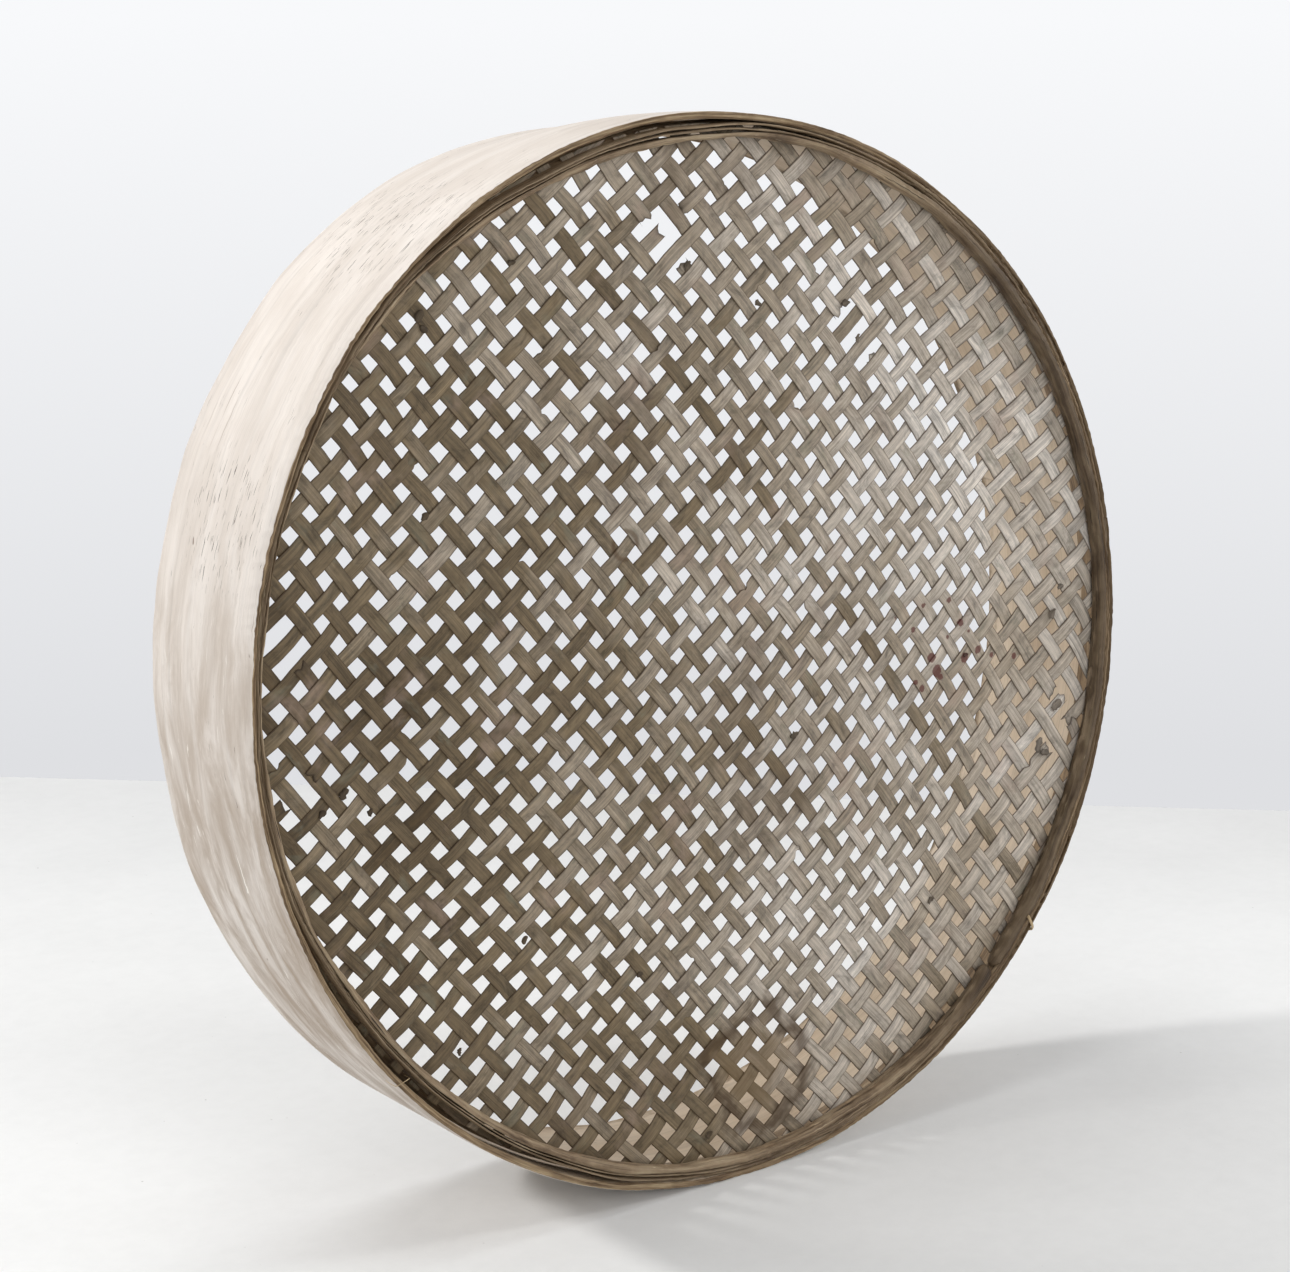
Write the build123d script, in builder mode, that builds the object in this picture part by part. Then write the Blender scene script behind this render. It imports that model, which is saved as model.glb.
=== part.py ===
from build123d import *
from math import cos, sin, radians, sqrt
import os

os.makedirs("parts", exist_ok=True)

# ---------------------------------------------------------------------------
# Large round bentwood basket with a plaited bamboo base, standing on its edge.
# Hoop axis along Y. The foot side, where the plaited base is, faces -Y and the
# deep open side faces +Y. +Z is up and z = 0 is the floor the edge stands on.
# All sizes in mm.
# ---------------------------------------------------------------------------
R_OUT = 390.0            # outer radius of the wall band
DEPTH = 140.0            # width of the wall band, which is the basket's depth
WALL_T = 5.0             # thickness of the wall band
FLAT_SAG = 1.6           # how far the worn flat cuts into the band at the floor
Y_FOOT = -DEPTH / 2      # plane of the foot rim
Y_BACK = DEPTH / 2       # plane of the open rim
Z0 = R_OUT - FLAT_SAG    # height of the hoop axis above the floor

HOOP_T = 2.2             # thickness of each thin clamp hoop
HOOP_GAP = 0.4           # clearance between one hoop and the next
HOOP_REACH = 29.0        # how far the clamp hoops reach back from the foot rim
HOOP_SET = 0.8           # how far their front edges sit behind the wall's

LIP_T = 7.0              # radial thickness of the lip ring
LIP_JOINT = -46.3        # angle of the lip ring's butt joint, from +X towards +Z
LIP_JOINT_GAP = 1.6      # gap between its two ends

BASE_Y = -44.0           # middle plane of the plaited base
SPLINT_W = 11.9          # width of a splint
SPLINT_T = 1.0           # thickness of a splint
SPLINT_LIFT = 0.55       # how far a splint's middle rides off the middle plane
FALL_PITCH = 20.0        # spacing of the splints that fall from left to right
RISE_PITCH = 20.63       # spacing of the splints that rise from left to right
FALL_ANGLE = -49.8       # direction of the falling splints, from +X towards +Z
FALL_FIRST = -372.2      # place of the first falling splint
FALL_COUNT = 38
RISE_FIRST = -369.835    # place of the first rising splint
RISE_COUNT = 37

STITCH_T = 0.5           # thickness of a stitch of split cane
STITCH_W = 2.5           # width of a stitch
STITCH_REACH = 10.0      # how far behind the foot rim a stitch passes through
STITCH_ANGLES = {"rim_stitch_right": -39.2, "rim_stitch_left": -139.2}

# derived radii, from the outside in
R_WALL_IN = R_OUT - WALL_T
R_HOOP_A = R_WALL_IN - 0.6
R_HOOP_A_IN = R_HOOP_A - HOOP_T
R_HOOP_B = R_HOOP_A_IN - HOOP_GAP
R_HOOP_B_IN = R_HOOP_B - HOOP_T
R_LIP = R_HOOP_B_IN - 0.6
R_LIP_IN = R_LIP - LIP_T
R_SPLINT_END = R_HOOP_B_IN - 0.4
LIP_BACK_Y = BASE_Y - SPLINT_LIFT - SPLINT_T / 2 - 0.05


def radial_plane(angle):
    """Plane through the hoop axis: local x points outwards, local y along +Y."""
    a = radians(angle)
    return Plane(origin=(0, 0, Z0), x_dir=(cos(a), 0, sin(a)), z_dir=(-sin(a), 0, cos(a)))


def hoop_point(radius, angle):
    return (radius * cos(radians(angle)), Z0 + radius * sin(radians(angle)))


def scarf_points(r_in, r_out, angle, length, gap, over=2.0):
    """A thin slanting slot across a band, from its inside to its outside."""
    half = length / 2
    a = radians(angle)
    er, et = (cos(a), sin(a)), (-sin(a), cos(a))
    mid, rise = (r_in + r_out) / 2, (r_out - r_in) / 2 + over
    run = half * rise / ((r_out - r_in) / 2)
    pts = []
    for s, g in ((-1, -gap), (1, -gap), (1, gap), (-1, gap)):
        r, t = mid + s * rise, s * run + g * length / (r_out - r_in) / 2
        pts.append((r * er[0] + t * et[0], Z0 + r * er[1] + t * et[1]))
    return pts


# --- wall band: one wide bent board, its two ends scarfed together ------------
with BuildPart() as outer_wall_band:
    with BuildSketch(Plane.XZ.offset(-Y_BACK)):
        with Locations((0, Z0)):
            Circle(R_OUT)
            Circle(R_WALL_IN, mode=Mode.SUBTRACT)
    extrude(amount=DEPTH)
    chamfer(outer_wall_band.edges().filter_by(GeomType.CIRCLE), 0.9)
    with BuildSketch(Plane.XZ.offset(-Y_BACK - 1)):
        Rectangle(300, 20, align=(Align.CENTER, Align.MAX))
        with BuildLine():
            Polyline(*scarf_points(R_WALL_IN, R_OUT, 12.0, 70.0, 0.25), close=True)
        make_face()
    extrude(amount=DEPTH + 2, mode=Mode.SUBTRACT)
    for angle in STITCH_ANGLES.values():
        with BuildSketch(radial_plane(angle)):
            with Locations((R_OUT - WALL_T / 2, Y_FOOT)):
                Rectangle(40, 2 * (STITCH_T + 0.05))
            with Locations((R_OUT - WALL_T / 2, Y_FOOT + STITCH_REACH - STITCH_T / 2)):
                Rectangle(40, STITCH_T + 0.2)
        extrude(amount=STITCH_W / 2 + 0.1, both=True, mode=Mode.SUBTRACT)
outer_wall_band.part.label = "outer_wall_band"
export_step(outer_wall_band.part, "parts/outer_wall_band.step")

# --- two thin clamp hoops nested inside the foot rim ---------------------------
with BuildPart() as clamp_hoop_outer:
    with BuildSketch(Plane.XZ.offset(-(Y_FOOT + HOOP_REACH))):
        with Locations((0, Z0)):
            Circle(R_HOOP_A)
            Circle(R_HOOP_A_IN, mode=Mode.SUBTRACT)
        with BuildLine():
            Polyline(*scarf_points(R_HOOP_A_IN, R_HOOP_A, 152.0, 18.0, 0.2, over=0.6), close=True)
        make_face(mode=Mode.SUBTRACT)
    extrude(amount=HOOP_REACH - HOOP_SET)
    for angle in STITCH_ANGLES.values():
        with BuildSketch(radial_plane(angle)):
            with Locations((R_HOOP_A, Y_FOOT + STITCH_REACH - STITCH_T / 2)):
                Rectangle(20, STITCH_T + 0.2)
        extrude(amount=STITCH_W / 2 + 0.1, both=True, mode=Mode.SUBTRACT)
clamp_hoop_outer.part.label = "clamp_hoop_outer"
export_step(clamp_hoop_outer.part, "parts/clamp_hoop_outer.step")

with BuildPart() as clamp_hoop_inner:
    with BuildSketch(Plane.XZ.offset(-(Y_FOOT + HOOP_REACH))):
        with Locations((0, Z0)):
            Circle(R_HOOP_B)
            Circle(R_HOOP_B_IN, mode=Mode.SUBTRACT)
        with BuildLine():
            Polyline(*scarf_points(R_HOOP_B_IN, R_HOOP_B, 64.0, 18.0, 0.2, over=0.6), close=True)
        make_face(mode=Mode.SUBTRACT)
    extrude(amount=HOOP_REACH - HOOP_SET)
    for angle in STITCH_ANGLES.values():
        with BuildSketch(radial_plane(angle)):
            with Locations((R_HOOP_B, Y_FOOT + STITCH_REACH - STITCH_T / 2)):
                Rectangle(20, STITCH_T + 0.2)
        extrude(amount=STITCH_W / 2 + 0.1, both=True, mode=Mode.SUBTRACT)
clamp_hoop_inner.part.label = "clamp_hoop_inner"
export_step(clamp_hoop_inner.part, "parts/clamp_hoop_inner.step")

# --- lip ring: split bamboo bent into a ring, its rounded ends butted ----------
gap_angle = LIP_JOINT_GAP / R_LIP_IN * 57.29578
with BuildPart() as lip_ring:
    with BuildSketch(radial_plane(LIP_JOINT - gap_angle / 2)) as lip_profile:
        with Locations((R_LIP_IN, Y_FOOT + 0.2)):
            Rectangle(LIP_T, LIP_BACK_Y - Y_FOOT - 0.2, align=(Align.MIN, Align.MIN))
        fillet(lip_profile.vertices().sort_by_distance((R_LIP_IN * cos(radians(LIP_JOINT)), Y_FOOT, Z0 + R_LIP_IN * sin(radians(LIP_JOINT))))[0], 3.4)
        fillet(lip_profile.vertices().sort_by_distance((R_LIP_IN * cos(radians(LIP_JOINT)), LIP_BACK_Y, Z0 + R_LIP_IN * sin(radians(LIP_JOINT))))[0], 2.0)
    revolve(axis=Axis((0, 0, Z0), (0, 1, 0)), revolution_arc=360.0 - gap_angle)
lip_ring.part.label = "lip_ring"
export_step(lip_ring.part, "parts/lip_ring.step")

# --- stitches of split cane that tie the wall band and the hoops together ------
with BuildPart() as rim_stitch_right:
    with BuildSketch(radial_plane(STITCH_ANGLES["rim_stitch_right"])):
        with Locations((R_LIP + 0.05, Y_FOOT)):
            Rectangle(R_OUT + 0.05 + STITCH_T - R_LIP - 0.05, STITCH_REACH, align=(Align.MIN, Align.MIN))
        with Locations((R_LIP + 0.05 + STITCH_T, Y_FOOT + STITCH_T)):
            Rectangle(R_OUT + 0.05 - R_LIP - 0.05 - STITCH_T, STITCH_REACH - 2 * STITCH_T, align=(Align.MIN, Align.MIN), mode=Mode.SUBTRACT)
    extrude(amount=STITCH_W / 2, both=True)
rim_stitch_right.part.label = "rim_stitch_right"
export_step(rim_stitch_right.part, "parts/rim_stitch_right.step")

with BuildPart() as rim_stitch_left:
    with BuildSketch(radial_plane(STITCH_ANGLES["rim_stitch_left"])):
        with Locations((R_LIP + 0.05, Y_FOOT)):
            Rectangle(R_OUT + 0.05 + STITCH_T - R_LIP - 0.05, STITCH_REACH, align=(Align.MIN, Align.MIN))
        with Locations((R_LIP + 0.05 + STITCH_T, Y_FOOT + STITCH_T)):
            Rectangle(R_OUT + 0.05 - R_LIP - 0.05 - STITCH_T, STITCH_REACH - 2 * STITCH_T, align=(Align.MIN, Align.MIN), mode=Mode.SUBTRACT)
    extrude(amount=STITCH_W / 2, both=True)
rim_stitch_left.part.label = "rim_stitch_left"
export_step(rim_stitch_left.part, "parts/rim_stitch_left.step")

# --- plaited base: two sets of flat splints in plain over-one, under-one weave --
FALL_DIR = (cos(radians(FALL_ANGLE)), sin(radians(FALL_ANGLE)))     # along a falling splint
RISE_DIR = (-FALL_DIR[1], FALL_DIR[0])                              # along a rising splint
fall_at = [FALL_FIRST + FALL_PITCH * k for k in range(FALL_COUNT)]  # measured along RISE_DIR
rise_at = [RISE_FIRST + RISE_PITCH * m for m in range(RISE_COUNT)]  # measured along FALL_DIR


def splint_outline(crossings, half_length):
    """Side view of one splint: it passes each crossing one splint's lift in
    front of the middle plane (-1) or behind it (+1), with a short ramp between."""
    flat = SPLINT_W / 2 + 0.6
    mids = []
    for place, side in crossings:
        mids += [(place - flat, side * SPLINT_LIFT), (place + flat, side * SPLINT_LIFT)]
    mids = [(-half_length, mids[0][1])] + mids + [(half_length, mids[-1][1])]
    top = [(s, BASE_Y + y + SPLINT_T / 2) for s, y in mids]
    bottom = [(s, BASE_Y + y - SPLINT_T / 2) for s, y in mids]
    return top + bottom[::-1]


def crossings_along(place, crossing_places, first_side):
    """The crossings that lie inside the ring on a splint, with their sides."""
    reach = sqrt(max(R_SPLINT_END ** 2 - max(abs(place) - SPLINT_W / 2, 0) ** 2, 1.0))
    found = []
    for n, c in enumerate(crossing_places):
        if abs(c) - SPLINT_W / 2 < reach:
            found.append((c, first_side * (1 if n % 2 == 0 else -1)))
    return found, reach + 2 * RISE_PITCH


def falling_plane(k):
    """Plane of a falling splint: local x along it, local y along +Y."""
    o = (RISE_DIR[0] * fall_at[k], 0, Z0 + RISE_DIR[1] * fall_at[k])
    return Plane(origin=o, x_dir=(FALL_DIR[0], 0, FALL_DIR[1]), z_dir=(-FALL_DIR[1], 0, FALL_DIR[0]))


def rising_plane(m):
    """Plane of a rising splint: local x along it, local y along +Y."""
    o = (FALL_DIR[0] * rise_at[m], 0, Z0 + FALL_DIR[1] * rise_at[m])
    return Plane(origin=o, x_dir=(RISE_DIR[0], 0, RISE_DIR[1]), z_dir=(-RISE_DIR[1], 0, RISE_DIR[0]))


# Neighbouring splints share a node in pairs, each splint its own solid.
def make_splints(name, numbers, plane_of, places, crossing_places, parity):
    with BuildPart() as splints:
        for n in numbers:
            first_side = 1 if (n + parity) % 2 == 0 else -1
            crossings, half_length = crossings_along(places[n], crossing_places, first_side)
            with BuildSketch(plane_of(n)):
                with BuildLine():
                    Polyline(*splint_outline(crossings, half_length), close=True)
                make_face()
            extrude(amount=SPLINT_W / 2, both=True)
        with BuildSketch(Plane.XZ.offset(-BASE_Y - 10)):
            with Locations((0, Z0)):
                Circle(R_SPLINT_END)
        extrude(amount=20, mode=Mode.INTERSECT)
    splints.part.label = name
    export_step(splints.part, f"parts/{name}.step")
    return splints


for first in range(0, FALL_COUNT, 2):
    group = list(range(first, min(first + 2, FALL_COUNT)))
    label = "falling_splint" + ("s" if len(group) > 1 else "") + "_" + "_".join(f"{n + 1:02d}" for n in group)
    make_splints(label, group, falling_plane, fall_at, rise_at, 0)

for first in range(0, RISE_COUNT, 2):
    group = list(range(first, min(first + 2, RISE_COUNT)))
    label = "rising_splint" + ("s" if len(group) > 1 else "") + "_" + "_".join(f"{n + 1:02d}" for n in group)
    make_splints(label, group, rising_plane, rise_at, fall_at, 1)
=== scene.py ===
import math

import bpy
import numpy as np
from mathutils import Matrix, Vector


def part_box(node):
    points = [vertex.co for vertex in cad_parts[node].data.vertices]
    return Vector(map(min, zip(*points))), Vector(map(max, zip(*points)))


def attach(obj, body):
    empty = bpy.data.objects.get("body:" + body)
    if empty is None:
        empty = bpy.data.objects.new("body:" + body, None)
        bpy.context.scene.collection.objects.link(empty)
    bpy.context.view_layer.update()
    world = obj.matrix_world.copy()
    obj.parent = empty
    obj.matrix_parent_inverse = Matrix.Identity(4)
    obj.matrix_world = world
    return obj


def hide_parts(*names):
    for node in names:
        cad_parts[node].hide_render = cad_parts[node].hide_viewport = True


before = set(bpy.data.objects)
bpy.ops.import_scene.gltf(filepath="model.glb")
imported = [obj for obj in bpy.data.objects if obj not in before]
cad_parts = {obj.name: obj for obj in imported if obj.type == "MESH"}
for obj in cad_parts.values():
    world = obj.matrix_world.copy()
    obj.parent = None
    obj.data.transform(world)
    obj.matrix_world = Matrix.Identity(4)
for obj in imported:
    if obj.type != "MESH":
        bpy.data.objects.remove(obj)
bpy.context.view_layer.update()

# ------------------------------------------------------------------ frame sizes, metres
lo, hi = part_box("outer_wall_band")
R_OUT = (hi.x - lo.x) / 2
Z0 = hi.z - R_OUT
Y_FOOT, Y_BACK = lo.y, hi.y
R_WALL_IN = R_OUT - 0.005
BASE_Y = -0.044
LIFT = 0.00051
THICK = 0.00088
WIDTH = 0.0110
R_END = 0.3806
FALL_DIR = np.array([0.6455, -0.7638])
RISE_DIR = np.array([0.7638, 0.6455])
FALL_N, FALL_FIRST, FALL_PITCH = 38, -0.3722, 0.0200
RISE_N, RISE_FIRST, RISE_PITCH = 37, -0.369835, 0.02063
TAU = 2 * math.pi


# ------------------------------------------------------------------ noise helpers
def periodic(seed, low, high, fall=1.0):
    """Noise that closes round a circle, about unit strength."""
    g = np.random.default_rng(seed)
    k = np.arange(low, high + 1)
    a = g.normal(size=k.size) / (k / low) ** fall
    p = g.uniform(0, TAU, k.size)
    a = a / np.sqrt((a**2).sum() / 2)
    return lambda t: (a * np.cos(np.multiply.outer(np.asarray(t), k) + p)).sum(-1)


def along(seed, step):
    """Smooth noise along a line, about unit strength."""
    v = np.random.default_rng(seed).normal(size=2048)

    def f(s):
        x = np.asarray(s, float) / step + 1000.5
        i = np.floor(x).astype(int)
        t = x - i
        t = t * t * (3 - 2 * t)
        return v[i % 2048] * (1 - t) + v[(i + 1) % 2048] * t

    return f


def hump(t, centre, width):
    """Smooth bump on a circle, at an angle in degrees."""
    d = (np.asarray(t) - math.radians(centre) + math.pi) % TAU - math.pi
    return np.exp(-((d / math.radians(width)) ** 2))


def around(t, *pairs):
    """Smooth value round the hoop from (degrees, value) pairs."""
    a = np.radians([p[0] for p in pairs])
    v = np.array([p[1] for p in pairs], float)
    a = np.concatenate([a - TAU, a, a + TAU])
    v = np.concatenate([v, v, v])
    x = (np.asarray(t) + math.pi) % TAU - math.pi
    i = np.clip(np.searchsorted(a, x) - 1, 0, len(a) - 2)
    u = (x - a[i]) / (a[i + 1] - a[i])
    u = u * u * (3 - 2 * u)
    return v[i] * (1 - u) + v[i + 1] * u


OVAL = 0.0235


def oval(v):
    """The hand-bent hoop is a little out of round: long towards its upper left and lower right. It rests on z = 0."""
    x, z = v[:, 0], v[:, 2] - Z0
    k = 1 + OVAL * np.cos(2 * (np.arctan2(z, x) - math.radians(135)))
    return np.stack([x * k, v[:, 1], np.maximum(Z0 + z * k, 0.0)], 1)


# ------------------------------------------------------------------ mesh helpers
class Builder:
    """Collects grids of points and makes one mesh object of them."""

    def __init__(self):
        self.v, self.f, self.uv, self.mark, self.n = [], [], [], [], 0

    def grid(self, pts, uv, mark, ring=True, caps=True, loop=False):
        """pts (n, m, 3): n sections of m points. uv (n, m + 1, 2) in metres. mark (n, m, 3)."""
        n, m = pts.shape[:2]
        i, j = np.meshgrid(np.arange(n if loop else n - 1), np.arange(m if ring else m - 1), indexing="ij")
        i, j = i.ravel(), j.ravel()
        i2, j2 = (i + 1) % n, (j + 1) % m
        q = np.stack([i * m + j, i * m + j2, i2 * m + j2, i2 * m + j], 1)
        if uv.shape[0] == n:
            ui2 = i2
        else:
            ui2 = i + 1
        w = np.stack([uv[i, j], uv[i, j + 1], uv[ui2, j + 1], uv[ui2, j]], 1)
        quads, uvs = [q], [w]
        if caps and not loop:
            half = m // 2
            for row, flip in ((0, True), (n - 1, False)):
                a = np.arange(half - 1)
                c = np.stack([row * m + a, row * m + a + 1, row * m + m - 2 - a, row * m + m - 1 - a], 1)
                cu = np.stack([uv[row, a], uv[row, a + 1], uv[row, a + 1], uv[row, a]], 1)
                if flip:
                    c, cu = c[:, ::-1], cu[:, ::-1]
                quads.append(c)
                uvs.append(cu)
        q, w = np.concatenate(quads), np.concatenate(uvs)
        P = pts.reshape(-1, 3)
        a, b, c, d = P[q[:, 0]], P[q[:, 1]], P[q[:, 2]], P[q[:, 3]]
        vol = np.einsum("ij,ij->i", a, np.cross(b, c)).sum() + np.einsum("ij,ij->i", a, np.cross(c, d)).sum()
        if vol < 0:
            q, w = q[:, ::-1], w[:, ::-1]
        self.v.append(P)
        self.f.append(q + self.n)
        self.uv.append(w)
        self.mark.append(np.asarray(mark, float).reshape(-1, 3))
        self.n += len(P)

    def make(self, name, material, node=None, slot=None):
        v, f = oval(np.concatenate(self.v)), np.concatenate(self.f)
        uv, mark = np.concatenate(self.uv), np.concatenate(self.mark)
        me = bpy.data.meshes.new(name)
        me.from_pydata(v.tolist(), [], f.tolist())
        layer = me.uv_layers.new(name="grain")
        layer.data.foreach_set("uv", uv.astype(np.float32).ravel())
        col = me.color_attributes.new(name="mark", type="FLOAT_COLOR", domain="POINT")
        col.data.foreach_set("color", np.concatenate([mark, np.ones((len(mark), 1))], 1).astype(np.float32).ravel())
        me.polygons.foreach_set("use_smooth", np.ones(len(f), bool))
        me.materials.append(material)
        me.update()
        o = bpy.data.objects.new(name, me)
        bpy.context.scene.collection.objects.link(o)
        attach(o, "root")
        if node:
            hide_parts(*([node] if isinstance(node, str) else node))
        return o


# ------------------------------------------------------------------ node helpers
def lin(r, g, b):
    f = lambda c: c / 12.92 if c <= 0.04045 else ((c + 0.055) / 1.055) ** 2.4
    return (f(r / 255), f(g / 255), f(b / 255), 1.0)


class Mat:
    def __init__(self, name, roughness=0.75, specular=0.3):
        self.m = bpy.data.materials.new(name)
        self.m.use_nodes = True
        self.t = self.m.node_tree
        self.t.nodes.clear()
        self.out = self.t.nodes.new("ShaderNodeOutputMaterial")
        self.b = self.t.nodes.new("ShaderNodeBsdfPrincipled")
        self.t.links.new(self.b.outputs[0], self.out.inputs["Surface"])
        self.b.inputs["Roughness"].default_value = roughness
        self.b.inputs["Specular IOR Level"].default_value = specular

    def put(self, socket, value):
        if isinstance(value, bpy.types.NodeSocket):
            self.t.links.new(value, socket)
        else:
            socket.default_value = value

    def uv(self):
        n = self.t.nodes.new("ShaderNodeUVMap")
        n.uv_map = "grain"
        return n.outputs[0]

    def pos(self):
        return self.t.nodes.new("ShaderNodeTexCoord").outputs["Object"]

    def mark(self):
        n = self.t.nodes.new("ShaderNodeAttribute")
        n.attribute_name = "mark"
        s = self.t.nodes.new("ShaderNodeSeparateColor")
        self.put(s.inputs[0], n.outputs["Color"])
        return s.outputs[0], s.outputs[1], s.outputs[2]

    def scaled(self, vec, sx, sy, sz=1.0, off=(0, 0, 0)):
        n = self.t.nodes.new("ShaderNodeMapping")
        self.put(n.inputs["Vector"], vec)
        n.inputs["Scale"].default_value = (sx, sy, sz)
        n.inputs["Location"].default_value = off
        return n.outputs[0]

    def noise(self, vec, scale=1.0, detail=4.0, rough=0.55, warp=0.0):
        n = self.t.nodes.new("ShaderNodeTexNoise")
        self.put(n.inputs["Vector"], vec)
        n.inputs["Scale"].default_value = scale
        n.inputs["Detail"].default_value = detail
        n.inputs["Roughness"].default_value = rough
        n.inputs["Distortion"].default_value = warp
        return n.outputs[0]

    def ramp(self, fac, *stops):
        n = self.t.nodes.new("ShaderNodeValToRGB")
        self.put(n.inputs[0], fac)
        e = n.color_ramp.elements
        while len(e) < len(stops):
            e.new(0.5)
        for k, (p, c) in enumerate(stops):
            e[k].position = p
            e[k].color = c if len(c) == 4 else (*c, 1)
        return n.outputs[0]

    def step(self, fac, a, b):
        """0 below a, 1 above b."""
        n = self.t.nodes.new("ShaderNodeMapRange")
        n.interpolation_type = "SMOOTHSTEP"
        self.put(n.inputs["Value"], fac)
        n.inputs["From Min"].default_value = a
        n.inputs["From Max"].default_value = b
        return n.outputs[0]

    def mix(self, fac, a, b, mode="MIX"):
        n = self.t.nodes.new("ShaderNodeMix")
        n.data_type = "RGBA"
        n.blend_type = mode
        self.put(n.inputs[0], fac)
        self.put(n.inputs[6], a)
        self.put(n.inputs[7], b)
        return n.outputs[2]

    def math(self, op, a, b=0.0, c=0.0):
        n = self.t.nodes.new("ShaderNodeMath")
        n.operation = op
        self.put(n.inputs[0], a)
        self.put(n.inputs[1], b)
        self.put(n.inputs[2], c)
        return n.outputs[0]

    def xyz(self, vec):
        n = self.t.nodes.new("ShaderNodeSeparateXYZ")
        self.put(n.inputs[0], vec)
        return n.outputs[0], n.outputs[1], n.outputs[2]

    def dist(self, vec, point):
        n = self.t.nodes.new("ShaderNodeVectorMath")
        n.operation = "DISTANCE"
        self.put(n.inputs[0], vec)
        n.inputs[1].default_value = point
        return n.outputs["Value"]

    def bump(self, height, strength=0.4, distance=0.001, normal=None):
        n = self.t.nodes.new("ShaderNodeBump")
        n.inputs["Strength"].default_value = strength
        n.inputs["Distance"].default_value = distance
        self.put(n.inputs["Height"], height)
        if normal is not None:
            self.put(n.inputs["Normal"], normal)
        return n.outputs[0]


GREY = lambda v: (v, v, v, 1)


DROPS = [(0.2315, 0.0181, 0.00232), (0.2443, -0.0014, 0.0029), (0.2641, -0.0254, 0.00348), (0.2498, -0.0299, 0.00406), (0.2791, -0.0314, 0.00232), (0.3027, -0.035, 0.00261), (0.2148, -0.0251, 0.00406), (0.2206, -0.0362, 0.00493), (0.1948, -0.0009, 0.00232), (0.2047, 0.0168, 0.00203), (0.2309, -0.011, 0.00145), (0.205, -0.0481, 0.0029), (0.1983, -0.0426, 0.00232), (0.2537, -0.0093, 0.00145), (0.1769, 0.0102, 0.00116), (0.2244, -0.0417, 0.00261)]


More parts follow.
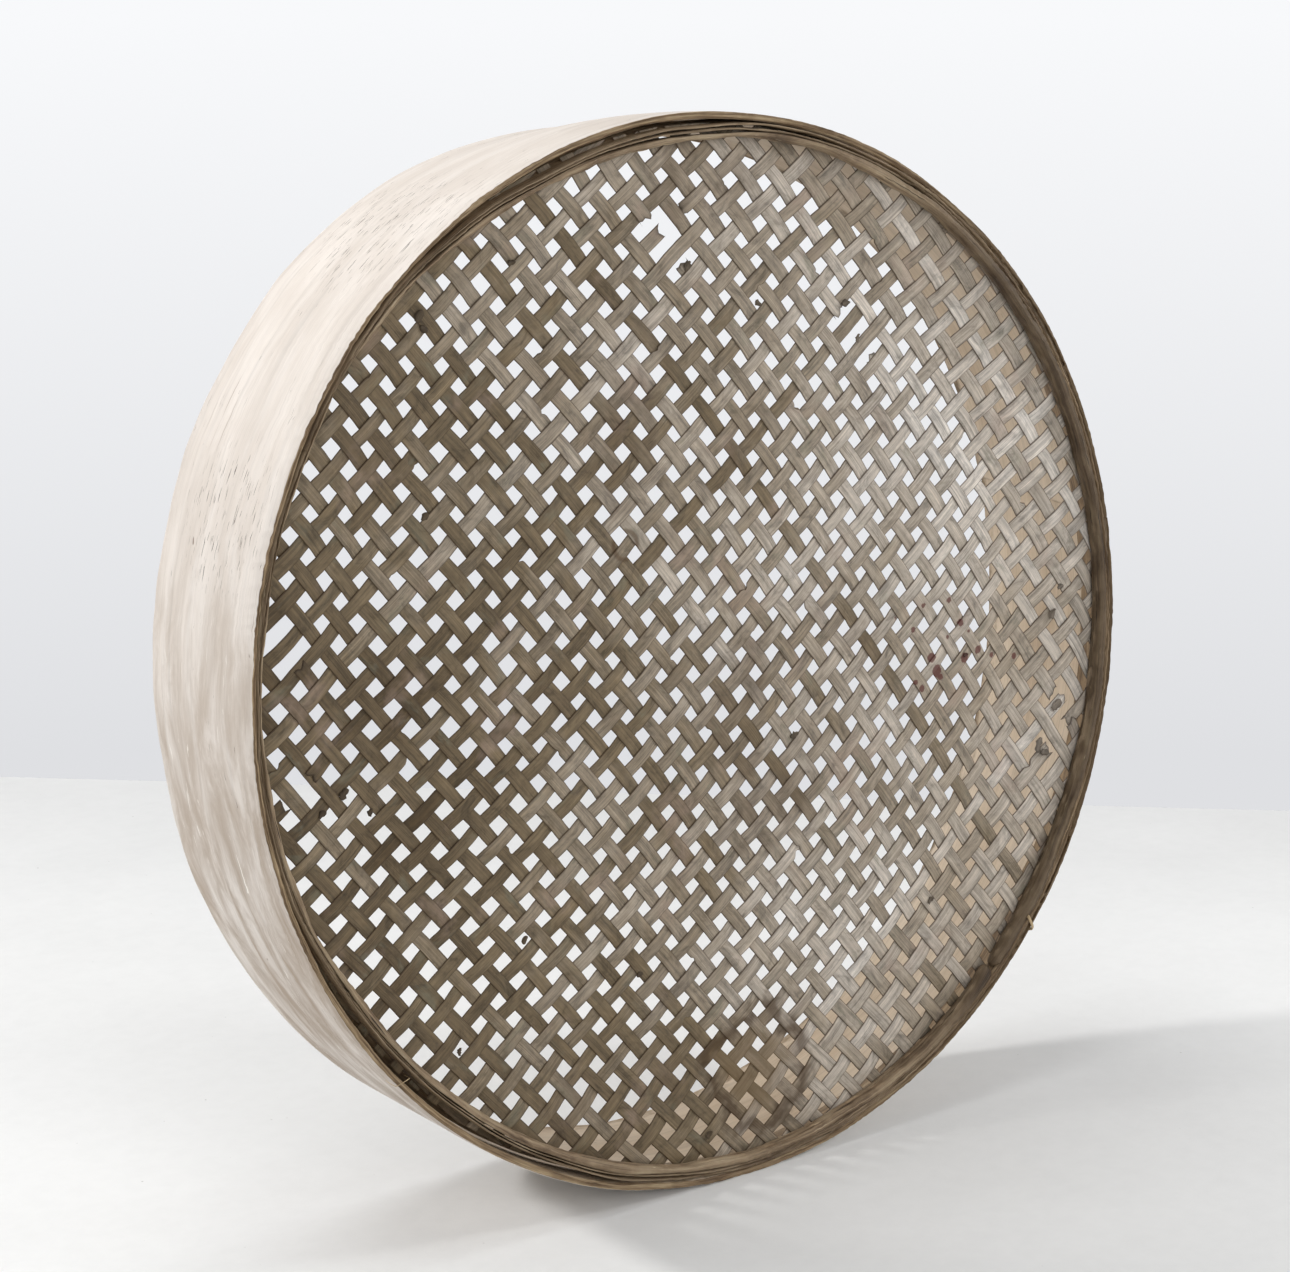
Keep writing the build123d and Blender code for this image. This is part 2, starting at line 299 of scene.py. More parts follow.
def splint_material():
    """Aged split bamboo: grey-taupe with fine grain along each strip, dark edges that are partly wear and partly
    painted shade, stains and grime, and painted light: lighter towards the right and top, with two painted sheen
    patches.
    """
    k = Mat("splint_bamboo", roughness=0.7, specular=0.32)
    uv, pos = k.uv(), k.pos()
    tone, edge, burn = k.mark()
    x, y, z = k.xyz(pos)
    fine = k.noise(k.scaled(uv, 14, 1500), 1, 4, 0.6)
    mid = k.noise(k.scaled(uv, 9, 420, off=(3, 7, 0)), 1, 3, 0.55, 0.3)
    cloud = k.noise(k.scaled(pos, 1, 1, 1), 13, 5, 0.6)
    patch = k.noise(k.scaled(uv, 30, 60, off=(11, 2, 0)), 1, 4, 0.6, 0.6)
    # painted light: the strips are painted lighter towards the right and the top of the base, standing in for light
    # falloff across it
    side = k.math("MULTIPLY_ADD", x, 0.66, 0.365)
    side = k.math("MULTIPLY_ADD", z, 0.24, side)
    # painted sheen: two soft round patches painted lighter, as a highlight on the base
    sheen = k.math("SUBTRACT", 1.0, k.step(k.dist(pos, (0.100, BASE_Y, Z0 - 0.240)), 0.03, 0.17))
    side = k.math("MULTIPLY_ADD", sheen, 0.22, side)
    sheen = k.math("SUBTRACT", 1.0, k.step(k.dist(pos, (0.185, BASE_Y, Z0 + 0.170)), 0.03, 0.19))
    side = k.math("MULTIPLY_ADD", sheen, 0.10, side)
    f = k.math("MULTIPLY_ADD", cloud, 0.55, side)
    f = k.math("MULTIPLY_ADD", tone, 0.34, f)
    f = k.math("SUBTRACT", f, 0.50)
    base = k.ramp(f, (0.0, lin(82, 66, 44)), (0.28, lin(122, 106, 82)), (0.50, lin(164, 151, 134)), (0.75, lin(202, 192, 180)), (1.0, lin(228, 221, 212)))
    base = k.mix(k.step(fine, 0.35, 0.75), base, lin(96, 84, 70), "MULTIPLY") if False else base
    g = k.ramp(fine, (0.25, GREY(0.60)), (0.5, GREY(1.0)), (0.75, GREY(1.28)))
    base = k.mix(1.0, base, g, "MULTIPLY")
    g2 = k.ramp(mid, (0.3, GREY(0.64)), (0.55, GREY(1.0)), (0.8, GREY(1.26)))
    base = k.mix(1.0, base, g2, "MULTIPLY")
    # greenish and pinkish patches
    base = k.mix(k.math("MULTIPLY", k.step(patch, 0.56, 0.72), 0.45), base, lin(118, 116, 98))
    p2 = k.noise(k.scaled(pos, 1, 1, 1, off=(4, 1, 9)), 19, 4, 0.6)
    base = k.mix(k.math("MULTIPLY", k.step(p2, 0.56, 0.72), 0.40), base, lin(164, 142, 128))
    p3 = k.noise(k.scaled(pos, 1, 1, 1, off=(1, 6, 3)), 8, 5, 0.65)
    base = k.mix(k.math("MULTIPLY", k.step(p3, 0.52, 0.72), 0.6), base, lin(96, 80, 62))
    p4 = k.noise(k.scaled(uv, 60, 110, off=(2, 9, 0)), 1, 5, 0.7, 0.8)
    base = k.mix(1.0, base, k.ramp(p4, (0.3, GREY(0.58)), (0.48, GREY(1.0)), (0.7, GREY(1.24))), "MULTIPLY")
    # dark strip edges: partly worn edge colour, partly painted shade for the shadow lines along the strip edges
    edge_wear_and_shade = k.math("MULTIPLY", k.step(edge, 0.82, 0.96), 0.80)
    base = k.mix(edge_wear_and_shade, base, lin(74, 56, 38))
    # reddish splashes, olive water marks, a ring mark
    ragged = k.noise(pos, 420, 2, 0.5)
    wet = None
    for dx, dz, dr in DROPS:
        d = k.math("MULTIPLY_ADD", ragged, 0.0026, k.dist(pos, (dx, BASE_Y - 0.001, Z0 + dz)))
        one = k.math("SUBTRACT", 1.0, k.step(d, dr + 0.0008, dr + 0.0018))
        wet = one if wet is None else k.math("MAXIMUM", wet, one)
    base = k.mix(k.math("MULTIPLY", wet, 0.82), base, lin(92, 42, 38))
    d = k.dist(pos, (0.040, BASE_Y, Z0 - 0.318))
    wobble = k.noise(pos, 30, 3, 0.6)
    dd = k.math("MULTIPLY_ADD", wobble, 0.06, d)
    m = k.math("SUBTRACT", 1.0, k.step(dd, 0.050, 0.085))
    base = k.mix(k.math("MULTIPLY", m, 0.62), base, lin(112, 90, 58))
    rim = k.math("MULTIPLY", k.step(dd, 0.062, 0.074), k.math("SUBTRACT", 1.0, k.step(dd, 0.076, 0.088)))
    base = k.mix(k.math("MULTIPLY", rim, 0.7), base, lin(70, 50, 28))
    d = k.dist(pos, (-0.079, BASE_Y, Z0 + 0.093))
    ring = k.math("MULTIPLY", k.step(d, 0.007, 0.0095), k.math("SUBTRACT", 1.0, k.step(d, 0.0105, 0.013)))
    base = k.mix(k.math("MULTIPLY", ring, 0.6), base, lin(84, 60, 36))
    # burnt or torn places
    base = k.mix(burn, base, lin(46, 34, 24))
    k.put(k.b.inputs["Base Color"], base)
    r = k.math("MULTIPLY_ADD", mid, 0.35, 0.50)
    k.put(k.b.inputs["Roughness"], r)
    h = k.math("MULTIPLY_ADD", mid, 0.9, fine)
    k.put(k.b.inputs["Normal"], k.bump(h, 0.55, 0.00035))
    return k.m


def wall_material():
    """The bent board: pale scrubbed bamboo outside with fine grain, checks and dark flecks, tan inside, brown torn
    edges painted darker towards the right as shade.
    """
    k = Mat("wall_bamboo", roughness=0.62, specular=0.3)
    uv, pos = k.uv(), k.pos()
    side, edge, low = k.mark()
    fine = k.noise(k.scaled(uv, 6, 1100), 1, 5, 0.6)
    mid = k.noise(k.scaled(uv, 4, 190, off=(5, 3, 0)), 1, 4, 0.6, 0.4)
    wide = k.noise(k.scaled(uv, 5, 16, off=(1, 8, 0)), 1, 4, 0.6)
    out = k.ramp(wide, (0.25, lin(214, 205, 196)), (0.48, lin(220, 212, 204)), (0.66, lin(225, 217, 209)), (0.85, lin(228, 221, 214)))
    out = k.mix(1.0, out, k.ramp(fine, (0.25, GREY(0.86)), (0.5, GREY(1.0)), (0.8, GREY(1.04))), "MULTIPLY")
    out = k.mix(1.0, out, k.ramp(mid, (0.25, GREY(0.86)), (0.48, GREY(1.0)), (0.8, GREY(1.03))), "MULTIPLY")
    # greyer, dirtier stretch low down
    dirt = k.noise(k.scaled(uv, 12, 45, off=(9, 1, 0)), 1, 5, 0.65, 0.5)
    m = k.math("MULTIPLY", low, k.step(dirt, 0.30, 0.66))
    out = k.mix(k.math("MULTIPLY", m, 0.85), out, lin(158, 139, 119))
    # checks and flecks along the grain
    c1 = k.noise(k.scaled(uv, 60, 900, off=(2, 5, 0)), 1, 2, 0.5, 0.2)
    gate = k.noise(k.scaled(uv, 9, 28, off=(7, 7, 0)), 1, 3, 0.6)
    near = k.math("SUBTRACT", 1.0, k.step(k.dist(pos, (-0.238, 0.0, Z0 + 0.316)), 0.035, 0.085))
    near = k.math("MAXIMUM", near, k.math("SUBTRACT", 1.0, k.step(k.dist(pos, (-0.372, -0.01, Z0 + 0.135)), 0.03, 0.07)))
    m = k.math("MULTIPLY", k.step(c1, 0.70, 0.73), k.step(gate, 0.50, 0.58))
    m = k.math("MAXIMUM", m, k.math("MULTIPLY", k.step(c1, 0.64, 0.67), near))
    out = k.mix(k.math("MULTIPLY", m, 0.85), out, lin(62, 46, 34))
    c2 = k.noise(k.scaled(uv, 7, 420, off=(4, 9, 0)), 1, 2, 0.5, 0.15)
    m2 = k.math("MULTIPLY", k.step(c2, 0.70, 0.73), k.step(gate, 0.50, 0.58))
    out = k.mix(k.math("MULTIPLY", m2, 0.55), out, lin(128, 102, 78))
    kn = k.noise(k.scaled(uv, 55, 90, off=(3, 1, 0)), 1, 1, 0.5, 0.5)
    out = k.mix(k.math("MULTIPLY", k.step(kn, 0.80, 0.83), 0.7), out, lin(104, 78, 58))
    # pale scratches
    s1 = k.noise(k.scaled(uv, 30, 300, off=(1, 2, 0)), 1, 1, 0.5, 1.2)
    m3 = k.math("MULTIPLY", k.step(s1, 0.725, 0.745), low)
    out = k.mix(k.math("MULTIPLY", m3, 0.8), out, lin(244, 240, 232))
    inn = k.ramp(wide, (0.25, lin(172, 150, 126)), (0.5, lin(198, 180, 157)), (0.8, lin(214, 199, 180)))
    inn = k.mix(1.0, inn, k.ramp(fine, (0.25, GREY(0.78)), (0.5, GREY(1.0)), (0.8, GREY(1.08))), "MULTIPLY")
    inn = k.mix(1.0, inn, k.ramp(mid, (0.25, GREY(0.82)), (0.5, GREY(1.0)), (0.8, GREY(1.06))), "MULTIPLY")
    inn = k.mix(k.math("MULTIPLY", m, 0.6), inn, lin(90, 66, 44))
    col = k.mix(side, out, inn)
    rimn = k.noise(k.scaled(uv, 18, 500, off=(6, 6, 0)), 1, 4, 0.65)
    rim = k.ramp(rimn, (0.30, lin(58, 42, 28)), (0.43, lin(112, 90, 66)), (0.56, lin(152, 130, 100)), (0.74, lin(204, 184, 150)))
    gx, gy, gz = k.xyz(pos)
    # painted shade: the torn edges are painted darker towards the right
    rim = k.mix(k.math("MULTIPLY", k.step(gx, 0.05, 0.32), 0.75), rim, lin(92, 74, 52))
    e = k.step(k.math("MULTIPLY_ADD", k.noise(k.scaled(uv, 40, 90), 1, 4, 0.6), 0.8, edge), 0.75, 1.02)
    col = k.mix(e, col, rim)
    k.put(k.b.inputs["Base Color"], col)
    k.put(k.b.inputs["Roughness"], k.math("MULTIPLY_ADD", mid, 0.35, 0.45))
    h = k.math("MULTIPLY_ADD", mid, 0.8, fine)
    h = k.math("SUBTRACT", h, k.math("MULTIPLY", m, 1.5))
    k.put(k.b.inputs["Normal"], k.bump(h, 0.5, 0.0005))
    return k.m


def hoop_material(name, stops, splinter_and_highlight, strength=0.8, dark=0.8):
    """Brown split bamboo of the hoops: long streaks, ridges and splinters, pale streaks that are partly painted
    highlight, and painted shade darker towards the right.
    """
    k = Mat(name, roughness=0.6, specular=0.35)
    uv, pos = k.uv(), k.pos()
    a, edge, burn = k.mark()
    fine = k.noise(k.scaled(uv, 12, 1300), 1, 4, 0.6)
    mid = k.noise(k.scaled(uv, 10, 330, off=(2, 4, 0)), 1, 4, 0.65, 0.5)
    wide = k.noise(k.scaled(uv, 22, 60, off=(8, 1, 0)), 1, 4, 0.65, 0.4)
    f = k.math("MULTIPLY_ADD", mid, 0.55, k.math("MULTIPLY", wide, 0.5))
    col = k.ramp(f, *stops)
    col = k.mix(1.0, col, k.ramp(fine, (0.25, GREY(0.60)), (0.5, GREY(1.0)), (0.78, GREY(1.28))), "MULTIPLY")
    sp = k.noise(k.scaled(uv, 60, 500, off=(3, 3, 0)), 1, 3, 0.6)
    # pale streaks along the grain: partly pale splinter colour, partly painted highlight on the ridges
    col = k.mix(k.math("MULTIPLY", k.step(sp, 0.66, 0.74), strength), col, splinter_and_highlight)
    col = k.mix(k.math("MULTIPLY", k.step(k.noise(k.scaled(uv, 14, 420, off=(1, 9, 0)), 1, 2, 0.5), 0.67, 0.71), 0.9), col, lin(40, 28, 18))
    x, y, z = k.xyz(pos)
    # painted shade: the colour is darker towards the right, most of all on the lip ring
    painted_shade_right = k.ramp(k.math("MULTIPLY_ADD", wide, 0.25, k.step(x, 0.10, 0.34)), (0.1, GREY(1.0)), (0.9, (dark, dark * 0.93, dark * 0.84, 1)))
    col = k.mix(1.0, col, painted_shade_right, "MULTIPLY")
    col = k.mix(burn, col, lin(44, 32, 20))
    k.put(k.b.inputs["Base Color"], col)
    k.put(k.b.inputs["Roughness"], k.math("MULTIPLY_ADD", mid, 0.4, 0.38))
    k.put(k.b.inputs["Normal"], k.bump(k.math("MULTIPLY_ADD", mid, 1.2, fine), 0.8, 0.0007))
    return k.m


def cane_material():
    k = Mat("cane", roughness=0.5, specular=0.4)
    uv = k.uv()
    fine = k.noise(k.scaled(uv, 60, 4000), 1, 4, 0.6)
    col = k.ramp(fine, (0.25, lin(120, 96, 66)), (0.5, lin(184, 160, 122)), (0.8, lin(222, 204, 170)))
    k.put(k.b.inputs["Base Color"], col)
    k.put(k.b.inputs["Roughness"], k.math("MULTIPLY_ADD", fine, 0.4, 0.35))
    k.put(k.b.inputs["Normal"], k.bump(fine, 0.6, 0.0004))
    return k.m


SPLINT = splint_material()
WALL = wall_material()
HOOP = hoop_material("hoop_bamboo", [(0.32, lin(66, 50, 35)), (0.45, lin(116, 96, 73)), (0.58, lin(156, 136, 110)), (0.78, lin(196, 178, 150))], lin(218, 200, 168))
LIP = hoop_material("lip_bamboo", [(0.34, lin(66, 50, 35)), (0.44, lin(116, 95, 72)), (0.56, lin(156, 135, 108)), (0.76, lin(196, 178, 148))], lin(222, 206, 176), dark=0.40)
CANE = cane_material()


# ------------------------------------------------------------------ rings
def ring(build, t, r, y, mark, loop=True):
    """t (n) angles; r, y (n, m) section points; mark (n, m, 3)."""
    n, m = r.shape
    limit = np.where(np.sin(t) < -0.5, Z0 / np.maximum(-np.sin(t), 0.5), 9.0)
    r = np.minimum(r, limit[:, None])
    pts = np.stack([r * np.cos(t)[:, None], y, Z0 + r * np.sin(t)[:, None]], -1)
    seg = np.hypot(np.diff(np.concatenate([r, r[:, :1]], 1), axis=1), np.diff(np.concatenate([y, y[:, :1]], 1), axis=1))
    v = np.concatenate([np.zeros((n, 1)), np.cumsum(seg, 1)], 1)
    v = np.repeat(v.mean(0)[None], n, 0)
    u = (t - t[0]) * R_OUT
    if loop:
        u = np.append(u, u[-1] + (t[1] - t[0]) * R_OUT)
        v = np.concatenate([v, v[:1]], 0)
    uv = np.stack([np.repeat(u[:, None], m + 1, 1), v], -1)
    build.grid(pts, uv, mark, ring=True, caps=not loop, loop=loop)


def wall_thick(t):
    return around(t, (-180, .0036), (-155, .0046), (-140, .0052), (-90, .0050), (-40, .0034), (0, .0034), (60, .0040), (90, .0050), (115, .0044), (132, .0036))


def outer_wall():
    n = 1500
    t = np.linspace(math.radians(12), math.radians(12) + TAU, n)
    tear = periodic(11, 6, 60, 0.4)(t) * 0.00035 + periodic(12, 60, 420, 0.3)(t) * 0.00030
    chips = -np.clip(periodic(13, 10, 120, 0.2)(t) - 1.5, 0, 2) * 0.0010
    tear2 = periodic(14, 8, 200, 0.5)(t) * 0.00045
    back = periodic(15, 5, 90, 0.7)(t) * 0.0005
    thick = wall_thick(t)
    thick = thick + periodic(16, 4, 40, 0.5)(t) * 0.00025
    # the board sags a little at the top left of its open side
    dent = 0.0135 * hump(t, 88, 24) + 0.0030 * hump(t, 184, 30)
    m_out, m_in = 15, 9
    yo = np.linspace(0, 1, m_out)
    yi = np.linspace(1, 0, m_in)
    R, Y, M = [], [], []
    wav = [periodic(20 + j, 3, 26, 0.8)(t) for j in range(4)]
    calm = around(t, (-180, 1.0), (-120, 1.0), (-60, 0.5), (0, 0.35), (50, 0.5), (95, 1.1), (140, 1.3))
    tear, tear2, chips = tear * calm, tear2 * calm, chips * calm
    front = Y_FOOT + 0.0009 - tear - chips
    front_i = Y_FOOT + 0.0012 - tear2 - chips
    backy = Y_BACK - 0.0008 + back
    low = hump(t, 214, 26) * 0.95 + 0.30 * hump(t, 180, 14)
    low = np.clip(low + 0.25, 0, 1)

    def bulge(s, k=0.00035):
        return k * (wav[0] * np.cos(3 * s) + wav[1] * np.cos(6 * s + 1) + wav[2] * np.cos(10 * s + 2))

    R_max = R_OUT - 0.0006
    # outer face, foot edge to back edge
    for j, s in enumerate(yo):
        yy = front + (backy - front) * s
        rr = R_max + bulge(s) - dent * s**1.6
        if j == 0:
            rr = rr - 0.0009
        elif j == 1:
            yy = front + 0.0011
            rr = rr - 0.0002
        elif j == m_out - 2:
            yy = backy - 0.0011
        elif j == m_out - 1:
            rr = rr - 0.0008
        rr = np.minimum(rr, R_OUT)
        e = max(0, 1 - s / 0.045) if s < 0.5 else max(0, (s - 0.975) / 0.025) * 0.8
        R.append(rr)
        Y.append(yy)
        M.append(np.stack([np.zeros(n), np.full(n, e), low], 1))
    # inner face, back edge to foot edge
    for j, s in enumerate(yi):
        yy = front_i + (backy - front_i) * s
        rr = R_max - thick + bulge(s, 0.0003) - dent * s**1.6
        if j == 0:
            rr = rr + 0.0008
        elif j == 1:
            yy = backy - 0.0012
        elif j == m_in - 2:
            yy = front_i + 0.0012
        elif j == m_in - 1:
            rr = rr + 0.0008
        e = 1.0 if j in (0, m_in - 1) else (0.5 if j in (1, m_in - 2) else 0.0)
        R.append(rr)
        Y.append(yy)
        M.append(np.stack([np.ones(n), np.full(n, e), low * 0], 1))
    # crest of the torn foot edge, with its layers
    for f, d in ((0.75, 0.0004), (0.5, -0.0003), (0.25, 0.0003)):
        layer = periodic(int(30 + f * 20), 20, 300, 0.3)(t) * 0.0003
        R.append(R_max - 0.0007 - (thick - 0.0014) * f)
        Y.append(np.maximum((front + (front_i - front) * f) - 0.0003 + d * 0.8 + layer, Y_FOOT - 0.0006))
        M.append(np.stack([np.full(n, 0.5), np.ones(n), low], 1))
    R, Y, M = np.stack(R, 1), np.stack(Y, 1), np.stack(M, 1)
    # the scarf: the two ends overlap in a slanting seam
    skew = (np.clip((Y - Y_FOOT) / (Y_BACK - Y_FOOT), 0, 1) - 0.5) * 0.05
    taper = np.clip((t - t[0]) / 0.10, 0, 1)[:, None]
    taper2 = np.clip((t[-1] - t) / 0.10, 0, 1)[:, None]
    mid = R_max - thick[:, None] / 2
    R = np.where(taper < 1, np.minimum(R, mid + (R - mid) * taper + (1 - taper) * 0.0), R)
    R = np.where(taper2 < 1, np.maximum(R, mid + 0.0003 + (R - mid) * taper2), R)
    b = Builder()
    n_, m_ = R.shape
    tt = t[:, None] + skew
    lim = np.where(np.sin(tt) < -0.5, Z0 / np.maximum(-np.sin(tt), 0.5), 9.0)
    R = np.minimum(R, lim)
    pts = np.stack([R * np.cos(tt), Y, Z0 + R * np.sin(tt)], -1)
    seg = np.hypot(np.diff(np.concatenate([R, R[:, :1]], 1), axis=1), np.diff(np.concatenate([Y, Y[:, :1]], 1), axis=1)).mean(0)
    v = np.concatenate([[0], np.cumsum(seg)])
    uv = np.stack([np.repeat(((t - t[0]) * R_OUT)[:, None], m_ + 1, 1), np.repeat(v[None], n_, 0)], -1)
    b.grid(pts, uv, M, ring=True, caps=True, loop=False)
    return b


def gap_wall(t):
    """Room between the wall and the first hoop, round the basket."""
    return around(t, (-180, .0005), (-164, .0012), (-150, .0070), (-132, .0082), (-118, .0056), (-105, .0018), (-85, .0006), (-40, .0005), (20, .0005), (60, .0006), (85, .0016), (98, .0044), (114, .0066), (126, .0040), (138, .0008), (165, .0004))


def thin_hoop(seed, r_out, thick, y0, y1, start, flare):
    """One thin hoop with its scarf, uneven edges and a few long splits."""
    n = 1300
    t = np.linspace(math.radians(start), math.radians(start) + TAU, n)
    ro = r_out(t) + periodic(seed, 5, 40, 0.6)(t) * 0.00022
    th = thick(t) * (1 + 0.12 * periodic(seed + 1, 6, 60, 0.5)(t))
    e0 = y0 + periodic(seed + 2, 5, 50, 0.5)(t) * 0.00055 + periodic(seed + 3, 60, 400, 0.2)(t) * 0.00028
    e1 = y1 + periodic(seed + 4, 5, 60, 0.6)(t) * 0.0006
    m = 5
    R, Y, M = [], [], []
    for j, s in enumerate(np.linspace(0, 1, m)):
        R.append(ro + (-th * 0.25 if j in (0, m - 1) else 0) + flare(t) * max(0.0, s - 0.60) / 0.40)
        Y.append(e0 + (e1 - e0) * s)
        M.append(np.stack([np.full(n, 0.2), np.full(n, 1.0 if j == 0 else 0.0), np.full(n, 0.0)], 1))
    for j, s in enumerate(np.linspace(1, 0, m)):
        R.append(ro - th + (th * 0.25 if j in (0, m - 1) else 0) + flare(t) * max(0.0, s - 0.60) / 0.40)
        Y.append(e0 + (e1 - e0) * s)
        M.append(np.stack([np.full(n, 0.8), np.full(n, 1.0 if j == m - 1 else 0.0), np.full(n, 0.0)], 1))
    R, Y, M = np.stack(R, 1), np.stack(Y, 1), np.stack(M, 1)
    taper = np.clip((t - t[0]) / 0.10, 0.05, 1)[:, None]
    taper2 = np.clip((t[-1] - t) / 0.10, 0.05, 1)[:, None]
    top, bot = R.max(1, keepdims=True), R.min(1, keepdims=True)
    R = np.where(taper < 1, bot + (R - bot) * taper, R)
    R = np.where(taper2 < 1, top - (top - R) * taper2, R)
    b = Builder()
    ring(b, t, R, Y, M, loop=False)
    return b


def hoop_a_out(t):
    return R_OUT - 0.0011 - wall_thick(t) - gap_wall(t)


def hoop_a_thick(t):
    return around(t, (-180, .0008), (-140, .0012), (-95, .0021), (-40, .0019), (30, .0017), (90, .0022), (115, .0013), (140, .0008))


def hoop_b_out(t):
    return hoop_a_out(t) - hoop_a_thick(t) - around(t, (-170, .0003), (-95, .0009), (-50, .0005), (20, .0004), (95, .0010), (140, .0003))


def hoop_b_thick(t):
    return around(t, (-180, .0008), (-140, .0011), (-95, .0020), (-40, .0019), (30, .0017), (90, .0022), (115, .0012), (140, .0008))


def lip_out(t):
    return hoop_b_out(t) - hoop_b_thick(t) - around(t, (-170, .0003), (-100, .0008), (-60, .0004), (60, .0006), (100, .0012), (150, .0003))


def lip_in(t):
    return around(t, (-180, .3808), (-164, .3765), (-145, .3680), (-128, .3668), (-112, .3690), (-95, .3730), (-46, .3735), (0, .3742), (45, .3732), (80, .3722), (105, .3690), (118, .3700), (134, .3785), (146, .3812))


def lip_ring():
    """The thick split half-round ring, with ridges, splinters and its two rounded ends at the lower right."""
    n = 1500
    a0 = math.radians(-46.3)
    g = 0.0012 / R_OUT
    t = np.linspace(a0 + g, a0 + TAU - g, n)
    ro = np.maximum(lip_out(t) + periodic(51, 6, 50, 0.6)(t) * 0.0002, lip_in(t) + 0.0014)
    ri = lip_in(t) + periodic(52, 5, 40, 0.6)(t) * 0.00045 + periodic(53, 50, 260, 0.3)(t) * 0.00012
    ri = ri - 0.0030 * np.exp(-(((t - t[-1]) / 0.05) ** 2))
    ri = ri + 0.0010 * np.exp(-(((t - t[0]) / 0.05) ** 2))
    y0 = -0.0697 + periodic(54, 5, 60, 0.5)(t) * 0.0005 + periodic(55, 60, 420, 0.2)(t) * 0.0002
    y1 = -0.0572 + periodic(56, 5, 50, 0.6)(t) * 0.0004
    m = 16
    R, Y, M = [], [], []
    th = ro - ri
    sec = []
    for j in range(m):
        s = j / (m - 1)
        # half round on the inside: from the outer front corner round the inside to the outer back corner
        ang = s * math.pi
        fr = abs(math.sin(ang)) ** 0.42
        fy = (1 - math.cos(ang)) / 2
        fy = fy * 0.86 + s * 0.14
        sec.append((fr, fy))
    for j, (fr, fy) in enumerate(sec):
        ridge = periodic(60 + j, 4, 90, 0.4)(t) * 0.00022 * (0.3 + fr)
        R.append(ro - th * fr + ridge)
        Y.append(y0 + (y1 - y0) * fy)
        M.append(np.stack([np.full(n, fy), np.full(n, 0.0), np.zeros(n)], 1))
    for j, s in enumerate(np.linspace(1, 0, m)[1:-1]):
        R.append(ro + 0 * t)
        Y.append(y0 + (y1 - y0) * s)
        M.append(np.stack([np.full(n, s), np.full(n, 0.0), np.zeros(n)], 1))
    R, Y, M = np.stack(R, 1), np.stack(Y, 1), np.stack(M, 1)
    # rounded ends
    for end, tend in ((0, t[0]), (1, t[-1])):
        d = np.abs(t - tend) * R_OUT
        k = np.clip(d / 0.0075, 0, 1)
        shrink = np.sqrt(np.clip(1 - (1 - k) ** 2, 0.03, 1))[:, None]
        cy, cr = (y0 + y1)[:, None] / 2, ((ro + ri) / 2)[:, None]
        R = np.where(shrink < 1, cr + (R - cr) * (0.35 + 0.65 * shrink), R)
        Y = np.where(shrink < 1, cy + (Y - cy) * shrink, Y)
    b = Builder()
    ring(b, t, R, Y, M, loop=False)
    return b


def strand(b, pts, width, thick, seed=0, taper=True):
    """A flat fibre or splinter along a short path, 4 points round."""
    pts = np.asarray(pts, float)
    n = len(pts)
    tan = np.gradient(pts, axis=0)
    tan /= np.linalg.norm(tan, axis=1, keepdims=True) + 1e-12
    up = np.array([0.0, -1.0, 0.15])
    sidev = np.cross(tan, up)
    sidev /= np.linalg.norm(sidev, axis=1, keepdims=True) + 1e-12
    nor = np.cross(sidev, tan)
    s = np.linspace(0, 1, n)
    w = width * (np.clip(1 - s**3, 0.12, 1) if taper else 1) * np.ones(n)
    h = thick * np.ones(n)
    quad = [pts + sidev * (w * a)[:, None] / 2 + nor * (h * c)[:, None] / 2 for a, c in ((-1, 1), (1, 1), (1, -1), (-1, -1))]
    P = np.stack(quad, 1)
    L = np.concatenate([[0], np.cumsum(np.linalg.norm(np.diff(pts, axis=0), axis=1))])
    v = np.array([0, width, width + thick, 2 * width + thick, 2 * width + 2 * thick]) + seed * 0.017
    uv = np.stack([np.repeat(L[:, None], 5, 1) + seed * 0.13, np.repeat(v[None], n, 0)], -1)
    b.grid(P, uv, np.zeros((n, 4, 3)) + [0.5, 0.0, 0.0], ring=True, caps=True)


